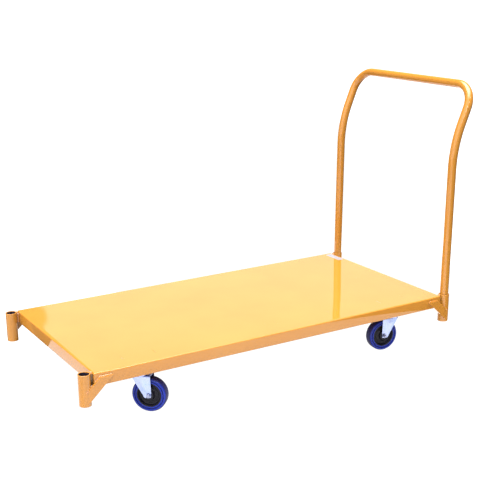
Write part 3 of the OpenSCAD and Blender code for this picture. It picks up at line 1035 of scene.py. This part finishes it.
def castor_matrix(corner, turned_with=True):
    """Castor space: origin on the floor under the swivel axis, +X towards the axle, +Y along the axle."""
    swivel = np.array(JOINTS[f"{corner}_swivel"]["pos_m"])
    axle = np.array(JOINTS[f"{corner}_roll"]["pos_m"])
    along = (axle - swivel)[:2]
    along = along / np.linalg.norm(along)
    if not turned_with:
        along = np.array([1.0, 0.0])
    matrix = np.eye(4)
    matrix[:2, 0] = along
    matrix[:2, 1] = (-along[1], along[0])
    matrix[:2, 3] = swivel[:2]
    return matrix


def castor_pieces(name, shells, material, slot, node=None, body="castor", turned_with=True, **finish):
    """Adds a piece drawn in castor space to all four castors, and returns the four."""
    pieces = []
    for corner in CORNERS:
        matrix = castor_matrix(corner, turned_with)
        own = [placed(shell, matrix) for shell in shells]
        rides = body if body == "platform" else f"{corner}_{body}"
        nodes = [f"{corner}_{node}"] if node else ()
        pieces.append(add_piece(f"{corner}_{name}", own, material, rides, slot, nodes, **finish))
    return pieces


def hexagon(corner, steps=96):
    """Radius of a hexagon at each angle: its flat's distance over the cosine of the angle from the
    flat."""
    turn = np.linspace(0, 2 * math.pi, steps, endpoint=False)
    off_flat = (turn + math.pi / 6) % (math.pi / 3) - math.pi / 6
    return corner * math.cos(math.pi / 6) / np.cos(off_flat)


def hex_head(centre, axis, corner, height, both=False):
    """Hexagon head or nut: the smaller of the hexagon's radius and a 30 degree chamfer cone, so that
    the cone cuts an arc on each flat. With both, both ends are chamfered."""
    flat = corner * math.cos(math.pi / 6)
    shape = hexagon(corner)
    drops = np.array([1.2, 0.9, 0.7, 0.5, 0.3, 0.15, 0.0]) * MM
    cone = [0.955 * flat + drop / math.tan(math.radians(30)) for drop in drops]
    upper = [(np.minimum(shape, c), height - drop) for c, drop in zip(cone, drops)]
    lower = [(shape, 0.0)]
    if both:
        lower = [(np.minimum(shape, c), drop) for c, drop in zip(cone[::-1], drops[::-1])]
    crown = [(0.8 * flat, height), (0.3 * flat, height)]
    base = [(0.3 * flat, 0.0), (0.8 * flat, 0.0)]
    return turned(base + lower + upper + crown, centre, axis, closed=False)


def thread(centre, axis, radius, start, end, pitch=1.25 * MM):
    """Screw thread: the radius falls and rises once per pitch, and the whole climbs one pitch a turn."""
    steps = 32
    heights = np.arange(start, end, pitch / 8)
    turn = np.linspace(0, 1, steps, endpoint=False)
    phase = (heights[:, None] / pitch - turn) % 1
    depth = 0.32 * MM * np.abs(2 * phase - 1)
    fade = smooth_step((end - heights) / (1.2 * MM))
    rows = [((radius - d) * (0.82 + 0.18 * f), h) for d, h, f in zip(depth, heights, fade)]
    return turned(rows, centre, axis, steps=steps, closed=False)


def washer(centre, axis, radius, hole, start, thickness):
    """Flat ring with softened edges."""
    corners = [(hole, start), (radius, start), (radius, start + thickness), (hole, start + thickness)]
    return turned(softened(corners, 0.25 * MM, 4), centre, axis, steps=64)


class TrolleyCastorPlates(bpy.types.Operator):
    """Presses the four castor top plates: rounded plate, raised ball race, and the kingpin riveted
    below."""

    bl_idname = "trolley.castor_plates"
    bl_label = "Castor plates"

    def execute(self, context):
        low, high = PLATE_LOW, PLATE_HIGH
        half_x = (high.x - low.x) / 2
        outline = rounded_rectangle(half_x, (high.y - low.y) / 2, 9 * MM, 8 * MM)
        edge = 0.6 * MM
        under = high.z - PLATE_SHEET
        levels = [(0.55, under), (1 - edge / half_x, under), (1.0, under + edge)]
        levels += [(1.0, high.z - edge), (1 - edge / half_x, high.z), (0.2, high.z)]
        plate = capped(np.stack([lifted(outline * share, z) for share, z in levels]))
        root = under + 0.5 * MM
        race = [(15 * MM, low.z), (31 * MM, low.z), (33.5 * MM, root), (15 * MM, root)]
        race = turned(softened(race, [0.8 * MM, 2.2 * MM, 0.2 * MM, 0.2 * MM], 7), (0, 0, 0), UP)
        fixed = {"body": "platform", "turned_with": False}
        castor_pieces("plate", [plate, race], zinc(), "zinc_plate", "top_plate", sharp=40, **fixed)
        castor_pieces("king_rivet", [self.rivet()], zinc(), "zinc_plate", "kingpin", **fixed)
        return {"FINISHED"}

    def rivet(self):
        """Kingpin: a plain shank with a domed, slightly flattened head under the fork's crown."""
        low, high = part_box("front_left_kingpin")
        head, shank = (high.x - low.x) / 2, 6 * MM
        angle = np.linspace(0.08, 1, 10) * math.pi / 2
        rows = [(head * math.sin(a), low.z + 4 * MM * (1 - math.cos(a))) for a in angle]
        rows += [(head, low.z + 5 * MM), (shank, low.z + 5.4 * MM), (shank, high.z - 0.4 * MM)]
        rows += [(shank - 0.4 * MM, high.z)]
        return turned(rows, (0, 0, 0), UP, steps=64, closed=False)


def fork_sheet(castor):
    """Pressed fork: one sheet whose section in the Y-Z plane goes up one cheek, over the crown and
    down the other. Across it, each row runs from the slanted leading edge to the upright trailing
    edge; both draw in along arcs at the foot. The sheet is dished round the axle and creased lightly
    down each cheek."""
    sheet, gap, crown = castor.fork_sheet, castor.fork_gap, castor.crown
    bend = 6 * MM
    foot_r = 8.5 * MM
    lead_foot, trail_foot = 28 * MM - foot_r, 40 * MM + foot_r
    lead_top, trail_top = -24 * MM, 46 * MM
    foot_z = AXLE_Z + 0.5 * MM
    outer_y = gap / 2 + sheet
    top = crown + sheet
    shoulder = top - bend
    dip = np.sin(np.linspace(1, 0, 10) * math.pi / 2)
    cheek = np.concatenate([foot_z - foot_r * dip, np.linspace(foot_z, shoulder, 44)[1:]])
    turn = np.linspace(0, math.pi / 2, 9)[1:]
    span = np.linspace(1, 0, 12)[1:] * (outer_y - bend)
    plain, flat = np.ones_like(cheek), np.ones_like(span)
    y = np.concatenate([outer_y * plain, outer_y - bend + bend * np.cos(turn), span])[:, None]
    z = np.concatenate([cheek, shoulder + bend * np.sin(turn), top * flat])[:, None]
    out_y = np.concatenate([plain, np.cos(turn), 0 * flat])[:, None]
    out_z = np.concatenate([0 * plain, np.sin(turn), flat])[:, None]
    rise = np.clip((z - foot_z) / (top - foot_z), 0, 1)
    inset = foot_r * (1 - np.sqrt(np.clip(1 - (np.clip(foot_z - z, 0, None) / foot_r) ** 2, 0, 1)))
    lead = lead_foot + inset + (lead_top - lead_foot) * rise
    trail = trail_foot - inset + (trail_top - trail_foot) * rise
    share = np.linspace(0, 1, 31)
    x = lead + (trail - lead) * share
    distance = np.hypot(x - TRAIL, z - AXLE_Z)
    dish = castor.recess * smooth_step((11.5 * MM - distance) / (2.5 * MM))
    crease = 0.9 * MM * np.exp(-(((share - 0.42) / 0.2) ** 2))
    crease = crease * smooth_step((z - AXLE_Z - 9 * MM) / (20 * MM))
    crease = crease * smooth_step((shoulder - z) / (18 * MM))
    press = np.where(z < shoulder, crease - dish, 0)

    def side(sign, depth):
        proud = press - depth
        return np.stack([x, sign * (y + out_y * proud), z + out_z * proud], axis=-1)

    outer = np.concatenate([side(-1, 0), side(1, 0)[-2::-1]])
    inner = np.concatenate([side(-1, sheet), side(1, sheet)[-2::-1]])
    return slab(inner, outer)


class TrolleyForks(bpy.types.Operator):
    """Presses the four castor forks: creased cheeks, rolled crown and the cup of the swivel head."""

    bl_idname = "trolley.forks"
    bl_label = "Castor forks"

    def execute(self, context):
        castor = context.scene.trolley_castor
        crown, cup = castor.crown, castor.cup
        hole, step, wall = 6.2 * MM, 14 * MM, cup - 2.6 * MM
        rim, shelf, floor = crown + 15 * MM, crown + 9 * MM, crown + 3 * MM
        section = [(hole, crown), (cup, crown), (cup, rim), (wall, rim)]
        section += [(wall, shelf), (step, shelf), (step, floor), (hole, floor)]
        radii = np.array([0.5, 5.0, 0.9, 0.9, 1.5, 1.5, 1.0, 0.5]) * MM
        bowl = turned(softened(section, radii, 7), (0, 0, 0), UP)
        castor_pieces("pressed_fork", [fork_sheet(castor)], zinc(), "zinc_plate", "fork", bevel=0.55 * MM)
        castor_pieces("swivel_cup", [bowl], zinc(), "zinc_plate")
        return {"FINISHED"}


class TrolleyWheels(bpy.types.Operator):
    """Moulds the four wheels: a dished nylon centre and a rubber tyre with a groove in each wall."""

    bl_idname = "trolley.wheels"
    bl_label = "Wheels"

    def execute(self, context):
        rim = context.scene.trolley_castor.rim
        centre = AXLE_SPOT
        half = [(9.6, 20.5), (14.2, 20.5), (16.2, 19.2), (18.2, 11.0), (21.5, 8.0), (25.2, 7.4)]
        half += [(26.8, 9.4), (30.2, 9.4), (32.0, 7.0), (36.6, 7.6), (40.2, 15.2), (41.6, 17.0)]
        half = np.array(half + [(rim / MM, 17.0)]) * MM
        bend = np.array([0.4, 0.9, 1.2, 3.0, 2.5, 0.8, 0.8, 0.8, 1.6, 2.5, 0.9, 0.6, 0.3]) * MM
        section = np.concatenate([half, half[::-1] * (1, -1)])
        hub = turned(softened(section, np.concatenate([bend, bend[::-1]]), 5), centre, AXLE, steps=144)
        radius = WHEEL_RADIUS
        wall = [(rim / MM, 17.0), (45.4, 17.7), (49.2, 17.7), (50.2, 14.6), (51.8, 14.6), (52.9, 17.8)]
        wall = np.array(wall + [(57.2, 18.0), (radius / MM - 0.3, 13.2)]) * MM
        bend = np.array([0.2, 0.7, 0.7, 0.5, 0.5, 0.8, 2.0, 4.0]) * MM
        crown = np.array([(radius, 0.0)])
        section = np.concatenate([wall, crown, wall[::-1] * (1, -1)])
        bend = np.concatenate([bend, [40 * MM], bend[::-1]])
        outline = softened(section, bend, 7)
        tyre = turned(outline, centre, AXLE, steps=144)
        ring = np.repeat(outline[:, 0], 144)
        # The tread and the groove in each wall are marked for the darker rubber colour: painted shade.
        groove = 0.8 * smooth_step(2 - np.abs(ring - 51.0 * MM) / (1.0 * MM))
        groove_and_tread_shade = np.maximum(groove, smooth_step((ring - 58.0 * MM) / (3.0 * MM)))
        rolls = {"body": "wheel", "sharp": 60}
        castor_pieces("hub_and_web", [hub], nylon(), "black_nylon", "wheel_centre", **rolls)
        for piece in castor_pieces("rubber_tyre", [tyre], rubber(), "blue_rubber", "tyre", **rolls):
            mark(piece, "tread", groove_and_tread_shade)
        return {"FINISHED"}


class TrolleyFasteners(bpy.types.Operator):
    """Makes the axle bolts and nuts and the sixteen plate bolts and nuts: heads, washers and threads."""

    bl_idname = "trolley.fasteners"
    bl_label = "Fasteners"

    def execute(self, context):
        castor = context.scene.trolley_castor
        across = castor.hex_corner
        reach = castor.fork_gap / 2 + castor.fork_sheet - castor.recess
        near, far = (0, -1, 0), AXLE
        disc = 1.2 * MM
        past = np.array([0, reach + disc, 0])
        head = [
            washer(AXLE_SPOT, near, 7.0 * MM, 4.2 * MM, reach, disc),
            hex_head(AXLE_SPOT - past, near, across, 5.0 * MM),
            turned([(4 * MM, -reach), (4 * MM, reach)], AXLE_SPOT, far, steps=32, closed=False),
            thread(AXLE_SPOT, far, 4 * MM, reach, reach + 11.4 * MM),
        ]
        nut = [
            washer(AXLE_SPOT, far, 7.0 * MM, 4.2 * MM, reach, disc),
            hex_head(AXLE_SPOT + past, far, across, 6.2 * MM, both=True),
        ]
        castor_pieces("axle_screw", head, fastener_zinc(), "zinc_fastener", "axle_bolt")
        castor_pieces("axle_hex_nut", nut, fastener_zinc(), "zinc_fastener", "axle_nut")
        bolts, nuts = [], []
        for corner in CORNERS:
            matrix = castor_matrix(corner, turned_with=False)
            for dx in (-30 * MM, 30 * MM):
                for dy in (-40 * MM, 40 * MM):
                    bolt, its_nut = self.plate_bolt(np.array([dx, dy, 0.0]), across)
                    bolts += [placed(shell, matrix) for shell in bolt]
                    nuts += [placed(shell, matrix) for shell in its_nut]
        add_piece("plate_bolts", bolts, fastener_zinc(), "platform", "zinc_fastener", ["castor_bolts"])
        add_piece("plate_nuts", nuts, fastener_zinc(), "platform", "zinc_fastener", ["castor_nuts"])
        return {"FINISHED"}

    def plate_bolt(self, spot, across):
        """Shells of one bolt under the plate, and of its washer and nut on the rail."""
        low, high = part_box("castor_bolts")
        plate = PLATE_HIGH.z - PLATE_SHEET
        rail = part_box("front_castor_rail")[0].z + RAIL_SHEET
        disc = np.array([0, 0, 1.0 * MM])
        at_plate, at_rail = spot + (0, 0, plate), spot + (0, 0, rail)
        shank_end = rail + 1 * MM
        bolt = [
            washer(at_plate, DOWN, 8.2 * MM, 4.2 * MM, 0, disc[2]),
            hex_head(at_plate - disc, DOWN, across, plate - disc[2] - low.z),
            turned([(4 * MM, plate), (4 * MM, shank_end)], spot, UP, steps=24, closed=False),
            thread(spot, UP, 4 * MM, shank_end, high.z),
        ]
        nut = [
            washer(at_rail, UP, 8.2 * MM, 4.2 * MM, 0, disc[2]),
            hex_head(at_rail + disc, UP, across, 5.5 * MM, both=True),
        ]
        return bolt, nut


class TrolleyFramePieces(bpy.types.Operator):
    """Gives the CAD pieces that stay as they are their paint or steel."""

    bl_idname = "trolley.frame_pieces"
    bl_label = "Packers, rings and bearings"

    def execute(self, context):
        # The packers take the painted shade of the slot.
        finishes = {"socket_packers": slot_shade_paint(), "socket_stop_rings": fastener_zinc()}
        for corner in CORNERS:
            for part in ("swivel_balls", "axle_bush", "wheel_bearing"):
                finishes[f"{corner}_{part}"] = bright_steel()
        for node, material in finishes.items():
            mesh = frame["nodes"][node].data
            mesh.materials.clear()
            mesh.materials.append(material)
        return {"FINISHED"}


# ---- stage ----


class TrolleyStage(bpy.types.Operator):
    """Sets the pale floor, the soft studio light and the camera."""

    bl_idname = "trolley.stage"
    bl_label = "Stage"

    def execute(self, context):
        scene = context.scene
        stage = scene.trolley_stage
        scene.view_settings.view_transform = "Standard"
        self.floor(stage)
        self.light(scene, stage)
        self.camera(scene, stage)
        return {"FINISHED"}

    def floor(self, stage):
        """A strip of white paper rolled out in line with the camera, and the pale floor just under
        it. Each is a grid over two parameters. The floor only fills the view: the room's own light
        stands in for it."""
        ahead = np.array([-math.sin(stage.azimuth), math.cos(stage.azimuth), 0.0])
        aside = np.array([math.cos(stage.azimuth), math.sin(stage.azimuth), 0.0])
        half, run, far = stage.paper / 2, stage.paper_run, stage.floor
        seam, cut, slope = -0.6, -0.09, 0.42
        slant = cut + slope * stage.wing, cut - slope * (half + seam)
        axes = aside, ahead
        paper = self.ground("paper", axes, (seam, half), run, (run, run), 0.0, (0.36, 0.9))
        wing = self.ground("paper_wing", axes, (-half - stage.wing, seam), run, slant, 0.0, (0.25, 0.62))
        floor = self.ground("floor", axes, (-far, far), far, (far, far), -0.5 * MM, (0.1, 1.0))
        floor.visible_glossy = False
        floor.visible_diffuse = False
        paper.visible_camera = False
        wing.visible_camera = False

    def ground(self, name, axes, sides, near, end, height, look):
        """Flat sheet between two sides. It starts straight, near metres towards the camera, and ends
        at a line given at both sides. look is its shade and its glow."""
        share = np.linspace(0, 1, 9)
        u = sides[0] + (sides[1] - sides[0]) * share
        last = end[0] + (end[1] - end[0]) * share
        v = (last + near)[:, None] * share - near
        points = u[:, None, None] * axes[0] + v[..., None] * axes[1] + np.array([0, 0, height])
        mesh = bpy.data.meshes.new(name)
        mesh.from_pydata(points.reshape(-1, 3).tolist(), [], grid_faces(9, 9, close_cols=False).tolist())
        mesh.materials.append(pale_ground(f"pale_{name}", *look))
        ground = bpy.data.objects.new(name, mesh)
        bpy.context.scene.collection.objects.link(ground)
        return ground

    def light(self, scene, stage):
        """Room light, a soft light overhead, one at the front end, a backdrop opposite the camera and
        three bare lamps. Each is a patch of the sky that fades between two angles from its own axis.
        A narrow white band at eye level closes the end of the floor. Looked at straight, the sky is
        plain white."""
        world = bpy.data.worlds.new("white_studio")
        world.use_nodes = True
        scene.world = world
        tree = world.node_tree
        background = tree.nodes["Background"]
        background.inputs["Color"].default_value = (1.0, 0.99, 0.985, 1.0)
        sky = tree.nodes.new("ShaderNodeTexCoord").outputs["Generated"]

        def along(axis):
            node = tree.nodes.new("ShaderNodeVectorMath")
            node.operation = "DOT_PRODUCT"
            node.inputs[1].default_value = Vector(axis).normalized()
            tree.links.new(sky, node.inputs[0])
            return node.outputs["Value"]

        def combine(operation, *values):
            return combined(tree, operation, *values)

        def patch(axis, inner, outer, strength):
            edge = (math.cos(math.radians(outer)), math.cos(math.radians(inner)))
            return spread(tree, along(axis), 0.0, strength, edge)

        a = stage.azimuth
        ahead = along((-math.sin(a), math.cos(a), 0.0))
        sideways = combine("DIVIDE", along((math.cos(a), math.sin(a), 0.0)), ahead)
        height = along(UP)
        upwards = combine("DIVIDE", height, ahead)
        bulge = combine("SUBTRACT", upwards, 0.355)
        bulge = combine("MULTIPLY", combine("MULTIPLY", bulge, bulge), 25.0)
        edge = combine("ADD", sideways, combine("MINIMUM", bulge, 0.01))
        left = spread(tree, edge, 0.0, 1.0, (-0.204, -0.201))
        right = spread(tree, sideways, 1.0, 0.0, (0.35, 0.6))
        low = spread(tree, upwards, 1.0, 0.0, (0.5, 0.8))
        front = spread(tree, ahead, 0.0, stage.backdrop, (0.2, 0.4))
        backdrop = combine("MULTIPLY", combine("MULTIPLY", left, right), combine("MULTIPLY", low, front))
        above = spread(tree, height, 0.8, 0.0, (0.05, 0.1))
        horizon = combine("MULTIPLY", above, spread(tree, height, 0.0, 1.0, (-0.05, 0.0)))
        overhead = patch(UP, 10, 40, stage.ceiling)
        parts = [backdrop, overhead, patch((-0.9, -0.35, 0.5), 12, 50, stage.side)]
        for axis in ((-0.55, -0.7, 0.45), (-0.25, -0.75, 0.62), (0.15, -0.65, 0.75)):
            parts.append(patch(axis, 4.0, 4.8, stage.lamps))
        parts.append(horizon)
        total = stage.room
        for part in parts:
            total = combine("ADD", total, part)
        seen = tree.nodes.new("ShaderNodeLightPath").outputs["Is Camera Ray"]
        total = combine("MAXIMUM", total, seen)
        total = combine("MINIMUM", total, combine("MULTIPLY_ADD", seen, -99.0, 100.0))
        tree.links.new(total, background.inputs["Strength"])

    def camera(self, scene, stage):
        """The camera's axes from its azimuth, elevation and roll."""
        camera = bpy.data.objects.new("camera", bpy.data.cameras.new("camera"))
        camera.data.sensor_width = 36.0
        camera.data.lens = stage.lens
        camera.data.shift_y = stage.shift
        camera.data.clip_end = 400.0
        a, e, r = stage.azimuth, stage.elevation, stage.roll
        back = Vector((math.sin(a) * math.cos(e), -math.cos(a) * math.cos(e), math.sin(e)))
        right = Vector((math.cos(a), math.sin(a), 0.0))
        up = back.cross(right)
        across = right * math.cos(r) + up * math.sin(r)
        upright = up * math.cos(r) - right * math.sin(r)
        turn = Matrix((across, upright, back)).transposed().to_4x4()
        camera.matrix_world = Matrix.Translation(CAMERA_STAND) @ turn
        scene.collection.objects.link(camera)
        scene.camera = camera


class TrolleyPanel(bpy.types.Panel):
    """Lists the trolley's pieces in the 3D view's sidebar."""

    bl_idname = "TROLLEY_PT_pieces"
    bl_label = "Platform trolley"
    bl_space_type = "VIEW_3D"
    bl_region_type = "UI"
    bl_category = "Trolley"

    def draw(self, context):
        for operator in OPERATORS:
            self.layout.operator(operator.bl_idname)


OPERATORS = (
    TrolleyDeck,
    TrolleyLabel,
    TrolleyCrossMembers,
    TrolleySockets,
    TrolleyStraps,
    TrolleyWelds,
    TrolleyHandle,
    TrolleyCastorPlates,
    TrolleyForks,
    TrolleyWheels,
    TrolleyFasteners,
    TrolleyFramePieces,
    TrolleyStage,
)
CLASSES = (*SETTINGS.values(), *OPERATORS, TrolleyPanel)


def register():
    for cls in CLASSES:
        bpy.utils.register_class(cls)
    for name, cls in SETTINGS.items():
        setattr(bpy.types.Scene, name, PointerProperty(type=cls))


def unregister():
    for name in SETTINGS:
        delattr(bpy.types.Scene, name)
    for cls in reversed(CLASSES):
        bpy.utils.unregister_class(cls)


def main():
    register()
    for operator in OPERATORS:
        group, name = operator.bl_idname.split(".")
        getattr(getattr(bpy.ops, group), name)()


if __name__ == "__main__":
    main()
